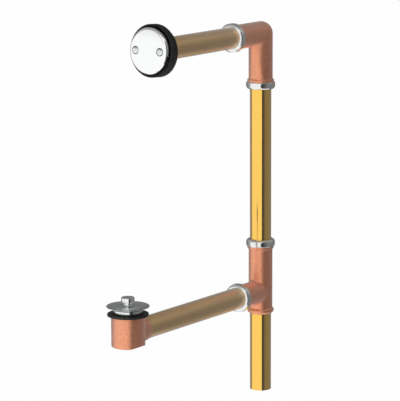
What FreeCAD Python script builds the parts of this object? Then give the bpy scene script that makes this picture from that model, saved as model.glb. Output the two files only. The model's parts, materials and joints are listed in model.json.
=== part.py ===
import FreeCAD, Part
import math
import os
import Sketcher

# Bath waste and overflow in brass, copper and chrome plate, sizes in millimetres.
# The origin is the centre of the tailpiece's lower open end.
# Tailpiece, tee, riser and elbow stand on the Z axis and the bath lies toward -Y.

# Driving sizes
SIZES = (
    # Brass tube of one and a half inches, with the room it has in a socket.
    ("tube_radius", 19.05),
    ("tube_wall", 1.15),
    ("socket_clearance", 0.10),
    ("tube_entry", 34.0),
    # Where the three pipe axes lie, from the tail's lower end and from the riser.
    ("drain_height", 182.0),
    ("overflow_height", 650.0),
    ("shoe_reach", 381.0),
    ("head_reach", 297.0),
    # Copper fittings
    ("fitting_radius", 21.45),
    ("branch_radius", 21.2),
    ("collar_radius", 23.75),
    ("collar_length", 9.0),
    ("flare_length", 2.3),
    ("tee_rise", 89.3),
    ("tee_reach", 67.0),
    ("tee_crotch", 4.0),
    ("tee_foot", 39.8),
    ("foot_radius", 20.0),
    ("bead_radius", 24.0),
    ("bead_height", 5.6),
    ("bead_lip", 4.6),
    ("bead_neck", 21.2),
    ("bead_round", 6.0),
    ("neck_ease", 4.0),
    ("elbow_drop", 91.0),
    ("elbow_reach", 84.0),
    ("tail_seat", 22.0),
    ("tail_spigot", 0.10),
    ("tail_show", 1.5),
    # Slip nuts, eight crowned flats each, with a tapered washer inside
    ("nut_length", 16.0),
    ("nut_mouth", 20.2),
    ("nut_radius", 26.0),
    ("nut_back_chamfer", 1.6),
    ("nut_flat", 25.1),
    ("nut_crown", 40.0),
    ("nut_facets", 8.0),
    ("flat_reach", 13.0),
    ("flat_outside", 30.0),
    ("nut_lip", 2.0),
    ("nut_lip_gap", 0.30),
    ("nut_bore", 23.9),
    ("nut_turn", 13.3),
    ("collar_seat", 8.0),
    ("washer_foot", 3.0),
    ("washer_radius", 23.6),
    ("washer_gap", 0.05),
    # Copper shoe under the bath's waste hole
    ("cup_radius", 28.6),
    ("cup_wall", 1.6),
    ("cup_depth", 22.5),
    ("cup_rise", 31.0),
    ("cup_edge", 2.5),
    ("trough_round", 11.0),
    ("outlet_radius", 22.4),
    ("outlet_bend", 24.0),
    ("outlet_mouth", 20.4),
    ("outlet_length", 40.0),
    ("outlet_start", 15.0),
    ("outlet_seat", 27.0),
    ("ring_gap", 0.05),
    ("ring_height", 15.0),
    ("ring_bore", 23.65),
    ("gasket_radius", 35.0),
    ("gasket_bore", 24.2),
    ("gasket_thickness", 3.0),
    ("gasket_step", 0.6),
    ("gasket_step_radius", 26.5),
    # Chrome waste flange, heights above the gasket's top face
    ("rim_radius", 36.4),
    ("rim_height", 13.1),
    ("rim_edge", 1.1),
    ("dish_radius", 26.0),
    ("dish_height", 10.6),
    ("step_radius", 25.3),
    ("seat_height", 8.4),
    ("bowl_foot", 1.5),
    ("bowl_radius", 25.2),
    ("bowl_height", 6.5),
    ("bowl_bend", 5.0),
    ("rim_root_radius", 28.8),
    ("rim_root_height", 10.1),
    ("barrel_radius", 23.6),
    ("barrel_drop", 26.0),
    ("throat_radius", 20.8),
    ("cross_height", 4.0),
    ("cross_width", 5.0),
    ("cross_hub", 6.0),
    # Lift and turn stopper
    ("post_radius", 3.0),
    ("post_height", 27.0),
    ("post_shank", 0.05),
    ("pin_radius", 1.1),
    ("pin_height", 20.0),
    ("pin_reach", 5.6),
    ("seal_thickness", 2.0),
    ("seal_radius", 22.6),
    ("boss_radius", 17.0),
    ("lip_radius", 18.6),
    ("lip_height", 2.9),
    ("disc_radius", 24.6),
    ("disc_edge", 1.6),
    ("dome_radius", 10.0),
    ("dome_height", 4.1),
    ("dome_bend", 60.0),
    ("neck_radius", 7.5),
    ("neck_foot", 5.6),
    ("neck_bend", 3.0),
    ("neck_height", 8.4),
    ("knob_radius", 11.25),
    ("knob_height", 9.6),
    ("knob_edge", 1.0),
    ("knob_dome", 0.5),
    ("knob_gap", 0.2),
    ("knob_socket", 5.9),
    ("stem_radius", 4.9),
    ("stem_fit", 0.05),
    ("stem_foot", 6.0),
    ("stem_bore", 27.6),
    ("window_low", 10.6),
    ("window_high", 1.3),
    ("window_ahead", 30.0),
    ("window_behind", 120.0),
    ("clip_radius", 7.2),
    ("clip_thickness", 0.8),
    ("clip_gap", 0.2),
    # Overflow head, sponge gasket and faceplate, leaning with the bath's end
    ("gasket_tilt", 4.0),
    ("head_radius", 39.0),
    ("head_thickness", 3.0),
    ("hub_radius", 21.5),
    ("hub_length", 20.0),
    ("hub_stop", 6.0),
    ("screw_spacing", 25.7),
    ("lug_radius", 5.0),
    ("lug_height", 11.0),
    ("lug_root", 2.5),
    ("lug_hole", 2.0),
    ("lug_bore", 12.0),
    ("sponge_radius", 44.7),
    ("sponge_height", 15.5),
    ("sponge_hole", 31.5),
    ("sponge_ridge", 0.5),
    ("sponge_groove", 3.0),
    ("ridge_pitch", 1.2),
    ("ridge_count", 3.0),
    ("plate_radius", 39.5),
    ("plate_edge", 25.3),
    ("plate_crown", 0.6),
    ("plate_round", 2.6),
    ("plate_wall", 1.2),
    ("slot_edge", 5.8),
    ("slot_rim", 3.4),
    ("dimple_radius", 6.9),
    ("dimple_depth", 1.7),
    ("dimple_floor", 4.6),
    ("dimple_back", 7.6),
    ("screw_hole", 2.4),
    ("head_round", 6.2),
    ("head_dome", 1.5),
    ("head_rise", 0.2),
    ("head_under", 1.5),
    ("head_foot", 4.1),
    ("shank_radius", 1.9),
    ("shank_tip", 4.0),
    ("recess_width", 1.3),
    ("recess_length", 6.4),
    ("recess_depth", 1.3),
)

doc = FreeCAD.newDocument("bath_waste_overflow")
sheet = doc.addObject("Spreadsheet::Sheet", "dims")


class Size:
    """A length that carries its number and the sheet expression behind it."""

    def __init__(self, number, text):
        self.number = float(number)
        self.text = text

    def __add__(self, other):
        other = as_size(other)
        return Size(self.number + other.number, f"({self.text} + {other.text})")

    def __radd__(self, other):
        return as_size(other) + self

    def __sub__(self, other):
        other = as_size(other)
        return Size(self.number - other.number, f"({self.text} - {other.text})")

    def __rsub__(self, other):
        return as_size(other) - self

    def __mul__(self, other):
        other = as_size(other)
        return Size(self.number * other.number, f"({self.text} * {other.text})")

    def __rmul__(self, other):
        return as_size(other) * self

    def __truediv__(self, other):
        other = as_size(other)
        return Size(self.number / other.number, f"({self.text} / {other.text})")

    def __neg__(self):
        return as_size(0) - self


def as_size(item):
    """Any number as a size."""
    if isinstance(item, Size):
        return item
    return Size(item, repr(float(item)))


def trig(kind, angle):
    """Sine, cosine or tangent (sin, cos, tan) of a sheet angle in degrees."""
    return Size(getattr(math, kind)(math.radians(angle.number)), f"{kind}({angle.text})")


class SheetSizes:
    """Every named size of the sheet, read as an attribute."""


d = SheetSizes()
for row, (alias, number) in enumerate(SIZES, start=1):
    sheet.set(f"A{row}", alias)
    sheet.set(f"B{row}", str(number))
    sheet.setAlias(f"B{row}", alias)
    setattr(d, alias, Size(number, f"dims.{alias}"))
doc.recompute()

UP = FreeCAD.Vector(0, 0, 1)
ACROSS = FreeCAD.Vector(1, 0, 0)
# Lengths nearer than this count as the same where an edge is picked.
CLOSE = 0.05
pieces = {}


# Sketch and feature helpers
def bind(thing, prop, size):
    """Tie a property to a size of the sheet."""
    thing.setExpression(prop, as_size(size).text)


def new_body(name):
    """A body that becomes one piece or one part of a boolean."""
    body = doc.addObject("PartDesign::Body", name)
    body.Label = name
    return body


def place(thing, x=0, y=0, z=0, axis=UP, angle=0):
    """Put a finished piece in its place, driven by the sheet."""
    # The quarter turn only sets the axis, which an unturned placement would forget.
    thing.Placement = FreeCAD.Placement(FreeCAD.Vector(0, 0, 0), FreeCAD.Rotation(axis, 90))
    bind(thing, "Placement.Base.x", x)
    bind(thing, "Placement.Base.y", y)
    bind(thing, "Placement.Base.z", z)
    bind(thing, "Placement.Rotation.Angle", angle)


def keep(name, thing):
    """Note a finished piece for the export."""
    thing.Label = name
    pieces[name] = thing


def new_sketch(body, name, role, lift=0):
    """A sketch on one of the body's own origin planes, raised along its normal."""
    plane = next(p for p in body.Origin.OriginFeatures if p.Role == role)
    sketch = body.newObject("Sketcher::SketchObject", name)
    sketch.AttachmentSupport = (plane, [""])
    sketch.MapMode = "FlatFace"
    bind(sketch, "AttachmentOffset.Base.z", lift)
    return sketch


def pin_point(sketch, geometry, end, across, up):
    """Fix one point of a sketch by two dimensions from the sketch's origin."""
    for kind, size in (("DistanceX", across), ("DistanceY", up)):
        size = as_size(size)
        number = sketch.addConstraint(Sketcher.Constraint(kind, -1, 1, geometry, end, size.number))
        sketch.setExpression(f"Constraints[{number}]", size.text)


def arc_between(start, end, bend):
    """The short arc from start to end; a positive bend turns left."""
    chord = end - start
    radius = abs(bend)
    reach = math.sqrt(radius ** 2 - (chord.Length / 2) ** 2)
    left = FreeCAD.Vector(-chord.y, chord.x, 0).normalize()
    centre = (start + end) * 0.5 + left * math.copysign(reach, bend)
    first, last = (start, end) if bend > 0 else (end, start)
    angles = [math.atan2(p.y - centre.y, p.x - centre.x) for p in (first, last)]
    return Part.ArcOfCircle(Part.Circle(centre, UP, radius), angles[0], angles[1])


def outline(sketch, points):
    """Closed outline; a point is (across, up) or (across, up, bend of the arc that leaves it)."""
    spots = [FreeCAD.Vector(as_size(p[0]).number, as_size(p[1]).number, 0) for p in points]
    base = sketch.GeometryCount
    count = len(points)
    ends = []
    for index, point in enumerate(points):
        start = spots[index]
        end = spots[(index + 1) % count]
        if len(point) == 2:
            sketch.addGeometry(Part.LineSegment(start, end), False)
            ends.append((1, 2))
            continue
        bend = as_size(point[2])
        geometry = sketch.addGeometry(arc_between(start, end, bend.number), False)
        ends.append((1, 2) if bend.number > 0 else (2, 1))
        radius = bend if bend.number > 0 else -bend
        number = sketch.addConstraint(Sketcher.Constraint("Radius", geometry, radius.number))
        sketch.setExpression(f"Constraints[{number}]", radius.text)
    for index, point in enumerate(points):
        after = (index + 1) % count
        sketch.addConstraint(Sketcher.Constraint(
            "Coincident", base + index, ends[index][1], base + after, ends[after][0]))
        pin_point(sketch, base + index, ends[index][0], point[0], point[1])


def cross_points(arm, half):
    """Corners of an upright cross, half its arm's width and its arm's reach given."""
    return (
        (-arm, -half), (-half, -half), (-half, -arm), (half, -arm),
        (half, -half), (arm, -half), (arm, half), (half, half),
        (half, arm), (-half, arm), (-half, half), (-arm, half),
    )


def circles(sketch, spots):
    """Full circles; a spot is (across, up, radius)."""
    for across, up, radius in spots:
        centre = FreeCAD.Vector(as_size(across).number, as_size(up).number, 0)
        radius = as_size(radius)
        geometry = sketch.addGeometry(Part.Circle(centre, UP, radius.number), False)
        pin_point(sketch, geometry, 3, across, up)
        number = sketch.addConstraint(Sketcher.Constraint("Radius", geometry, radius.number))
        sketch.setExpression(f"Constraints[{number}]", radius.text)


def spun(body, name, kind, points, role="XZ_Plane", axis="V_Axis"):
    """Turn an outline fully round the sketch's axis, adding or cutting."""
    sketch = new_sketch(body, name + "_outline", role)
    outline(sketch, points)
    feature = body.newObject("PartDesign::" + kind, name)
    feature.Profile = sketch
    feature.ReferenceAxis = (sketch, [axis])
    feature.Angle = 360
    sketch.Visibility = False
    doc.recompute()
    return feature


def ran(body, name, kind, sketch, length, back=False, both=False):
    """Pad or pocket of a sketch, along its normal or back from it."""
    feature = body.newObject("PartDesign::" + kind, name)
    feature.Profile = sketch
    bind(feature, "Length", length)
    feature.Reversed = back
    if both:
        feature.SideType = "Symmetric"
    sketch.Visibility = False
    doc.recompute()
    return feature


def repeated(body, name, feature, count):
    """Repeat a feature evenly round the body's Z axis."""
    axis = next(a for a in body.Origin.OriginFeatures if a.Role == "Z_Axis")
    pattern = body.newObject("PartDesign::PolarPattern", name)
    pattern.Originals = [feature]
    pattern.Axis = (axis, [""])
    pattern.Angle = 360
    bind(pattern, "Occurrences", count)
    body.Tip = pattern
    doc.recompute()
    return pattern


def eased(body, name, feature, radius, chosen):
    """Round the edges that the test picks."""
    edges = [f"Edge{i}" for i, edge in enumerate(feature.Shape.Edges, start=1) if chosen(edge)]
    rounding = body.newObject("PartDesign::Fillet", name)
    rounding.Base = (feature, edges)
    bind(rounding, "Radius", radius)
    doc.recompute()
    return rounding


def on_ring(radius, height):
    """Test for a full circle round Z with this radius at this height."""
    def chosen(edge):
        curve = edge.Curve
        if not isinstance(curve, Part.Circle):
            return False
        return abs(curve.Radius - radius) < CLOSE and abs(curve.Center.z - height) < CLOSE
    return chosen


# Tubes
inner_radius = d.tube_radius - d.tube_wall
socket_radius = d.tube_radius + d.socket_clearance


def tube(name, start, end):
    """A straight brass tube on its body's Z axis."""
    body = new_body(name)
    spun(body, name + "_wall", "Revolution", (
        (inner_radius, start),
        (d.tube_radius, start),
        (d.tube_radius, end),
        (inner_radius, end),
    ))
    keep(name, body)
    return body


tee_top = d.drain_height + d.tee_rise
elbow_bottom = d.overflow_height - d.elbow_drop
tube("riser_tube", tee_top - d.tube_entry, elbow_bottom + d.tube_entry)

shoe_tube = tube("shoe_tube", d.tee_reach - d.tube_entry, d.shoe_reach - d.outlet_seat)
place(shoe_tube, z=d.drain_height, axis=ACROSS, angle=90)

overflow_tube = tube("overflow_tube", d.elbow_reach - d.tube_entry, d.head_reach - d.hub_stop)
place(overflow_tube, z=d.overflow_height, axis=ACROSS, angle=90)

# Tailpiece, with the slightly smaller spigot that sits in the tee's foot
tail = new_body("tailpiece")
tail_end = d.drain_height - d.tee_foot - d.tail_show
tail_top = d.drain_height - d.tail_seat
spigot_radius = d.tube_radius - d.tail_spigot
spun(tail, "tail_wall", "Revolution", (
    (inner_radius, 0),
    (d.tube_radius, 0),
    (d.tube_radius, tail_end),
    (spigot_radius, tail_end),
    (spigot_radius, tail_top),
    (inner_radius, tail_top),
))
keep("tailpiece", tail)


# Copper fittings
def leg_outline(reach, radius, root):
    """Outer outline of a leg in (along, out), ending in the collar that its nut grips."""
    return (
        (root, 0),
        (root, radius),
        (reach - d.collar_length - d.flare_length, radius),
        (reach - d.collar_length, d.collar_radius),
        (reach, d.collar_radius),
        (reach, 0),
    )


def standing(points, sign):
    """Turn (along, out) into sketch points for an upright axis."""
    return tuple((out, along * sign) for along, out in points)


def lying(points):
    """Turn (along, out) into sketch points for a leg toward -Y."""
    return tuple((-along, out) for along, out in points)


def bored(along_start, along_end, radius):
    """Outline of a straight bore in (along, out)."""
    return ((along_start, 0), (along_start, radius), (along_end, radius), (along_end, 0))


# Tee
tee = new_body("drain_tee")
bead_mid = d.bead_height - d.tee_foot
bead_end = bead_mid + d.bead_lip
spun(tee, "tee_run", "Revolution", (
    (0, -d.tee_foot),
    (d.foot_radius, -d.tee_foot, d.bead_round),
    (d.bead_radius, bead_mid, d.bead_round),
    (d.bead_neck, bead_end),
    (d.fitting_radius, bead_end + d.neck_ease),
    (d.fitting_radius, d.tee_rise - d.collar_length - d.flare_length),
    (d.collar_radius, d.tee_rise - d.collar_length),
    (d.collar_radius, d.tee_rise),
    (0, d.tee_rise),
))
branch = spun(tee, "tee_branch", "Revolution",
              lying(leg_outline(d.tee_reach, d.branch_radius, 0)), "YZ_Plane", "H_Axis")


def tee_crotch(edge):
    """Test for the curves where the tee's branch leaves its run."""
    box = edge.BoundBox
    half = d.branch_radius.number + CLOSE
    inside = abs(box.ZMax) < half and abs(box.ZMin) < half
    joined = box.YMin > -d.fitting_radius.number - CLOSE and box.YMax < -CLOSE
    return inside and joined and min(box.XLength, box.ZLength) > d.tube_wall.number


eased(tee, "tee_crotch_round", branch, d.tee_crotch, tee_crotch)
spun(tee, "tee_foot_bore", "Groove",
     standing(bored(-d.tee_foot, -d.tail_seat, d.tube_radius - d.tail_spigot / 2), 1))
spun(tee, "tee_run_bore", "Groove",
     standing(bored(-d.tail_seat, d.tee_rise, socket_radius), 1))
spun(tee, "tee_branch_passage", "Groove",
     lying(bored(0, d.tee_reach, inner_radius)), "YZ_Plane", "H_Axis")
spun(tee, "tee_branch_socket", "Groove",
     lying(bored(d.tee_reach - d.tube_entry, d.tee_reach, socket_radius)), "YZ_Plane", "H_Axis")
place(tee, z=d.drain_height)
keep("drain_tee", tee)

# Elbow, whose two legs meet in a ball
elbow = new_body("overflow_elbow")
spun(elbow, "elbow_ball", "Revolution", (
    (0, -d.fitting_radius, d.fitting_radius),
    (d.fitting_radius, 0, d.fitting_radius),
    (0, d.fitting_radius),
))
spun(elbow, "elbow_down_leg", "Revolution",
     standing(leg_outline(d.elbow_drop, d.fitting_radius, 0), -1))
spun(elbow, "elbow_side_leg", "Revolution",
     lying(leg_outline(d.elbow_reach, d.fitting_radius, 0)), "YZ_Plane", "H_Axis")
spun(elbow, "elbow_ball_hollow", "Groove", (
    (0, -socket_radius, socket_radius),
    (socket_radius, 0, socket_radius),
    (0, socket_radius),
))
spun(elbow, "elbow_down_bore", "Groove",
     standing(bored(0, d.elbow_drop, socket_radius), -1))
spun(elbow, "elbow_side_bore", "Groove",
     lying(bored(0, d.elbow_reach, socket_radius)), "YZ_Plane", "H_Axis")
place(elbow, z=d.overflow_height)
keep("overflow_elbow", elbow)


# Slip nuts and their washers
def slip_nut(name, turn):
    """A chromed slip nut, tube end at its origin, thread end up, its flats turned round."""
    body = new_body(name)
    lip_radius = d.tube_radius + d.nut_lip_gap
    cone = d.nut_bore - lip_radius
    front = d.nut_radius - d.nut_mouth
    back = d.nut_length - d.nut_back_chamfer
    spun(body, name + "_blank", "Revolution", (
        (lip_radius, 0),
        (d.nut_mouth, 0),
        (d.nut_radius, front),
        (d.nut_radius, back),
        (d.nut_radius - d.nut_back_chamfer, d.nut_length),
        (d.nut_bore, d.nut_length),
        (d.nut_bore, d.nut_lip + cone),
        (lip_radius, d.nut_lip),
    ))
    sketch = new_sketch(body, name + "_flat_outline", "XY_Plane")
    centre = d.nut_flat - d.nut_crown
    side = Size(math.sqrt(d.nut_crown.number ** 2 - d.flat_reach.number ** 2),
                "sqrt(dims.nut_crown ^ 2 - dims.flat_reach ^ 2)")
    outline(sketch, (
        (centre + side, -d.flat_reach, d.nut_crown),
        (centre + side, d.flat_reach),
        (d.flat_outside, d.flat_reach),
        (d.flat_outside, -d.flat_reach),
    ))
    bind(sketch, "AttachmentOffset.Rotation.Angle", turn)
    flat = ran(body, name + "_flat", "Pocket", sketch, d.nut_length, back=True)
    repeated(body, name + "_flats", flat, d.nut_facets)
    keep(name, body)
    return body


def slip_washer(name):
    """The tapered washer that the nut squeezes against the fitting's collar."""
    body = new_body(name)
    bore = d.tube_radius + d.washer_gap
    foot = d.tube_radius + d.nut_lip_gap + d.washer_foot - d.nut_lip - d.washer_gap
    spun(body, name + "_ring", "Revolution", (
        (bore, d.washer_foot),
        (foot, d.washer_foot),
        (d.washer_radius, d.washer_foot + d.washer_radius - foot),
        (d.washer_radius, d.collar_seat),
        (bore, d.collar_seat),
    ))
    keep(name, body)
    return body


SLIP_JOINTS = (
    ("tee_top", -d.nut_turn, {"z": tee_top + d.collar_seat, "axis": ACROSS, "angle": 180}),
    ("tee_side", 0, {"y": -d.tee_reach - d.collar_seat, "z": d.drain_height,
                     "axis": ACROSS, "angle": -90}),
    ("elbow_inlet", 0, {"y": -d.elbow_reach - d.collar_seat, "z": d.overflow_height,
                        "axis": ACROSS, "angle": -90}),
    ("elbow_outlet", d.nut_turn, {"z": elbow_bottom - d.collar_seat}),
)
for joint, turn, where in SLIP_JOINTS:
    place(slip_nut(joint + "_nut", turn), **where)
    place(slip_washer(joint + "_washer"), **where)


# Copper shoe
def shoe_form(name, radius, depth, rise, corner, edge):
    """A round cup whose floor is rounded like a trough that runs toward the outlet."""
    body = new_body(name)
    cup = spun(body, name + "_cup", "Revolution", (
        (0, -depth),
        (radius, -depth),
        (radius, rise),
        (0, rise),
    ))
    if edge.number > 0:
        eased(body, name + "_edge", cup, edge, on_ring(radius.number, -depth.number))
    sketch = new_sketch(body, name + "_trough_outline", "XZ_Plane")
    for sign in (1, -1):
        outline(sketch, (
            (sign * (radius - corner), -depth, sign * corner),
            (sign * radius, corner - depth),
            (sign * (radius + corner), corner - depth),
            (sign * (radius + corner), -depth - corner),
            (sign * (radius - corner), -depth - corner),
        ))
    ran(body, name + "_trough", "Pocket", sketch, 4 * radius, both=True)
    return body


shoe_outer = shoe_form("shoe_outer", d.cup_radius, d.cup_depth, d.cup_rise, d.trough_round, d.cup_edge)
spun(shoe_outer, "shoe_outlet", "Revolution", (
    (d.outlet_start, 0),
    (d.outlet_start, d.outlet_radius),
    (d.outlet_bend, d.outlet_radius),
    (d.outlet_length, d.outlet_mouth),
    (d.outlet_length, 0),
), "YZ_Plane", "H_Axis")
shoe_inner = shoe_form("shoe_inner", d.cup_radius - d.cup_wall, d.cup_depth - d.cup_wall,
                       d.cup_rise, d.trough_round - d.cup_wall, d.cup_edge - d.cup_wall)
spun(shoe_inner, "shoe_passage", "Revolution", (
    (0, 0),
    (0, inner_radius),
    (d.outlet_seat, inner_radius),
    (d.outlet_seat, socket_radius),
    (d.outlet_length, socket_radius),
    (d.outlet_length, 0),
), "YZ_Plane", "H_Axis")
shoe = doc.addObject("Part::Cut", "waste_shoe")
shoe.Base = shoe_outer
shoe.Tool = shoe_inner
place(shoe, y=-d.shoe_reach, z=d.drain_height)
keep("waste_shoe", shoe)

# Brass ring in the shoe's mouth that the waste flange screws into
cup_top = d.drain_height + d.cup_rise
thread_ring = new_body("shoe_thread_ring")
ring_radius = d.cup_radius - d.cup_wall - d.ring_gap
spun(thread_ring, "ring_wall", "Revolution", (
    (d.ring_bore, -d.ring_height),
    (ring_radius, -d.ring_height),
    (ring_radius, 0),
    (d.ring_bore, 0),
))
place(thread_ring, y=-d.shoe_reach, z=cup_top)
keep("shoe_thread_ring", thread_ring)

shoe_gasket = new_body("shoe_gasket")
spun(shoe_gasket, "shoe_gasket_ring", "Revolution", (
    (d.gasket_bore, 0),
    (d.gasket_radius, 0),
    (d.gasket_radius, d.gasket_thickness),
    (d.gasket_step_radius, d.gasket_thickness),
    (d.gasket_step_radius - d.gasket_step, d.gasket_thickness - d.gasket_step),
    (d.gasket_bore, d.gasket_thickness - d.gasket_step),
))
place(shoe_gasket, y=-d.shoe_reach, z=cup_top)
keep("shoe_gasket", shoe_gasket)

# Chrome waste flange with the crossbars that carry the stopper's post
bath_face = cup_top + d.gasket_thickness
flange = new_body("waste_flange")
flange_blank = spun(flange, "flange_form", "Revolution", (
    (d.throat_radius, -d.barrel_drop),
    (d.barrel_radius, -d.barrel_drop),
    (d.barrel_radius, d.bowl_foot),
    (d.bowl_radius, d.bowl_height, -d.bowl_bend),
    (d.rim_root_radius, d.rim_root_height),
    (d.rim_radius, d.rim_height - d.rim_edge),
    (d.rim_radius, d.rim_height - d.rim_edge / 2, d.rim_edge / 2),
    (d.rim_radius - d.rim_edge / 2, d.rim_height),
    (d.dish_radius, d.dish_height),
    (d.step_radius, d.dish_height - (d.dish_radius - d.step_radius)),
    (d.step_radius, d.seat_height),
    (d.throat_radius, d.seat_height),
))
cross_sketch = new_sketch(flange, "cross_outline", "XY_Plane", -d.barrel_drop)
half = d.cross_width / 2
arm = (d.throat_radius + d.barrel_radius) / 2
outline(cross_sketch, cross_points(arm, half))
ran(flange, "cross_bars", "Pad", cross_sketch, d.cross_height)
hub_sketch = new_sketch(flange, "cross_hub_outline", "XY_Plane", -d.barrel_drop)
circles(hub_sketch, ((0, 0, d.cross_hub),))
ran(flange, "cross_hub_pad", "Pad", hub_sketch, d.cross_height)
hole_sketch = new_sketch(flange, "cross_hole_outline", "XY_Plane", -d.barrel_drop)
circles(hole_sketch, ((0, 0, d.post_radius + d.post_shank),))
ran(flange, "cross_hole", "Pocket", hole_sketch, d.cross_height, back=True)
place(flange, y=-d.shoe_reach, z=bath_face)
keep("waste_flange", flange)

# Stopper post with the pin that holds the stem up
cross_top = bath_face - d.barrel_drop + d.cross_height
post = new_body("stopper_post")
spun(post, "post_shank", "Revolution", (
    (0, -d.cross_height),
    (d.post_radius, -d.cross_height),
    (d.post_radius, d.post_height),
    (0, d.post_height),
))
place(post, y=-d.shoe_reach, z=cross_top)
keep("stopper_post", post)

pin = new_body("stopper_post_pin")
pin_sketch = new_sketch(pin, "pin_outline", "YZ_Plane", d.post_radius)
circles(pin_sketch, ((0, 0, d.pin_radius),))
ran(pin, "pin_shank", "Pad", pin_sketch, d.pin_reach - d.post_radius)
place(pin, y=-d.shoe_reach, z=cross_top + d.pin_height)
keep("stopper_post_pin", pin)

# Stopper disc, heights above the underside that rests on the seal
seat_face = bath_face + d.seat_height
disc_under = seat_face + d.seal_thickness
disc = new_body("stopper_disc")
disc_bore = d.stem_radius + d.stem_fit
spun(disc, "disc_form", "Revolution", (
    (disc_bore, -d.seal_thickness - d.lip_height),
    (d.lip_radius, -d.seal_thickness - d.lip_height),
    (d.lip_radius, -d.seal_thickness),
    (d.boss_radius, -d.seal_thickness),
    (d.boss_radius, 0),
    (d.disc_radius, 0),
    (d.disc_radius, d.disc_edge, d.dome_bend),
    (d.dome_radius, d.dome_height, -d.neck_bend),
    (d.neck_radius, d.neck_foot),
    (d.neck_radius, d.neck_height),
    (disc_bore, d.neck_height),
))
place(disc, y=-d.shoe_reach, z=disc_under)
keep("stopper_disc", disc)

seal = new_body("stopper_seal")
spun(seal, "seal_ring", "Revolution", (
    (d.boss_radius, 0),
    (d.seal_radius, 0),
    (d.seal_radius, d.seal_thickness),
    (d.boss_radius, d.seal_thickness),
))
place(seal, y=-d.shoe_reach, z=seat_face)
keep("stopper_seal", seal)

# Knob and its stem, heights above the top of the disc's neck
neck_top = disc_under + d.neck_height
knob = new_body("stopper_knob")
knob_bore = d.stem_radius + d.stem_fit
knob_face = d.knob_radius - d.knob_edge
knob_bend = (knob_face * knob_face + d.knob_dome * d.knob_dome) / (2 * d.knob_dome)
spun(knob, "knob_form", "Revolution", (
    (0, d.knob_socket),
    (knob_bore, d.knob_socket),
    (knob_bore, d.knob_gap),
    (d.knob_radius - d.knob_edge / 2, d.knob_gap),
    (d.knob_radius, d.knob_gap + d.knob_edge / 2),
    (d.knob_radius, d.knob_height - d.knob_edge - d.knob_dome, d.knob_edge),
    (knob_face, d.knob_height - d.knob_dome, knob_bend),
    (0, d.knob_height),
))
place(knob, y=-d.shoe_reach, z=neck_top)
keep("stopper_knob", knob)

stem = new_body("stopper_stem")
stem_bore = d.post_radius + d.stem_fit
stem_height = neck_top + d.knob_socket - d.stem_fit - cross_top
spun(stem, "stem_form", "Revolution", (
    (stem_bore, d.stem_foot),
    (d.stem_radius, d.stem_foot),
    (d.stem_radius, stem_height),
    (0, stem_height),
    (0, d.stem_bore),
    (stem_bore, d.stem_bore),
))
window_sketch = new_sketch(stem, "window_outline", "XZ_Plane")
outline(window_sketch, (
    (0, d.pin_height - d.window_low),
    (2 * d.stem_radius, d.pin_height - d.window_low),
    (2 * d.stem_radius, d.pin_height + d.window_high),
    (0, d.pin_height + d.window_high),
))
window = stem.newObject("PartDesign::Groove", "stem_window")
window.Profile = window_sketch
window.ReferenceAxis = (window_sketch, ["V_Axis"])
bind(window, "Angle", d.window_ahead + d.window_behind)
doc.recompute()
place(stem, y=-d.shoe_reach, z=cross_top, angle=-d.window_behind)
keep("stopper_stem", stem)

clip = new_body("stem_clip")
lip_bottom = disc_under - d.seal_thickness - d.lip_height
spun(clip, "clip_ring", "Revolution", (
    (d.stem_radius, -d.clip_gap - d.clip_thickness),
    (d.clip_radius, -d.clip_gap - d.clip_thickness),
    (d.clip_radius, -d.clip_gap),
    (d.stem_radius, -d.clip_gap),
))
place(clip, y=-d.shoe_reach, z=lip_bottom)
keep("stem_clip", clip)

# Overflow head behind the bath's end
lean = 90 - d.gasket_tilt
head = new_body("overflow_head")
spun(head, "head_form", "Revolution", (
    (inner_radius, 0),
    (inner_radius, -d.hub_stop),
    (socket_radius, -d.hub_stop),
    (socket_radius, -d.head_thickness - d.hub_length),
    (d.hub_radius, -d.head_thickness - d.hub_length),
    (d.hub_radius, -d.head_thickness),
    (d.head_radius, -d.head_thickness),
    (d.head_radius, 0),
))


def lug_circles(name, radius, lift):
    """Circles for both lugs on a plane square to the leaning axis."""
    sketch = new_sketch(head, name, "XY_Plane", lift * trig("cos", d.gasket_tilt))
    leaning = FreeCAD.Rotation(-ACROSS, d.gasket_tilt.number)
    sketch.AttachmentOffset = FreeCAD.Placement(FreeCAD.Vector(), leaning)
    bind(sketch, "AttachmentOffset.Base.y", lift * trig("sin", d.gasket_tilt))
    bind(sketch, "AttachmentOffset.Rotation.Angle", d.gasket_tilt)
    circles(sketch, ((d.screw_spacing, 0, radius), (-d.screw_spacing, 0, radius)))
    return sketch


lugs = lug_circles("lug_outline", d.lug_radius, -d.lug_root)
ran(head, "lugs", "Pad", lugs, d.lug_height + d.lug_root)
holes = lug_circles("lug_hole_outline", d.lug_hole, d.lug_height)
ran(head, "lug_holes", "Pocket", holes, d.lug_bore)
place(head, y=-d.head_reach, z=d.overflow_height, axis=ACROSS, angle=90)
keep("overflow_head", head)


def on_head(thing):
    """Stand a piece on the leaning axis of the overflow head."""
    place(thing, y=-d.head_reach, z=d.overflow_height, axis=ACROSS, angle=lean)


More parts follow.
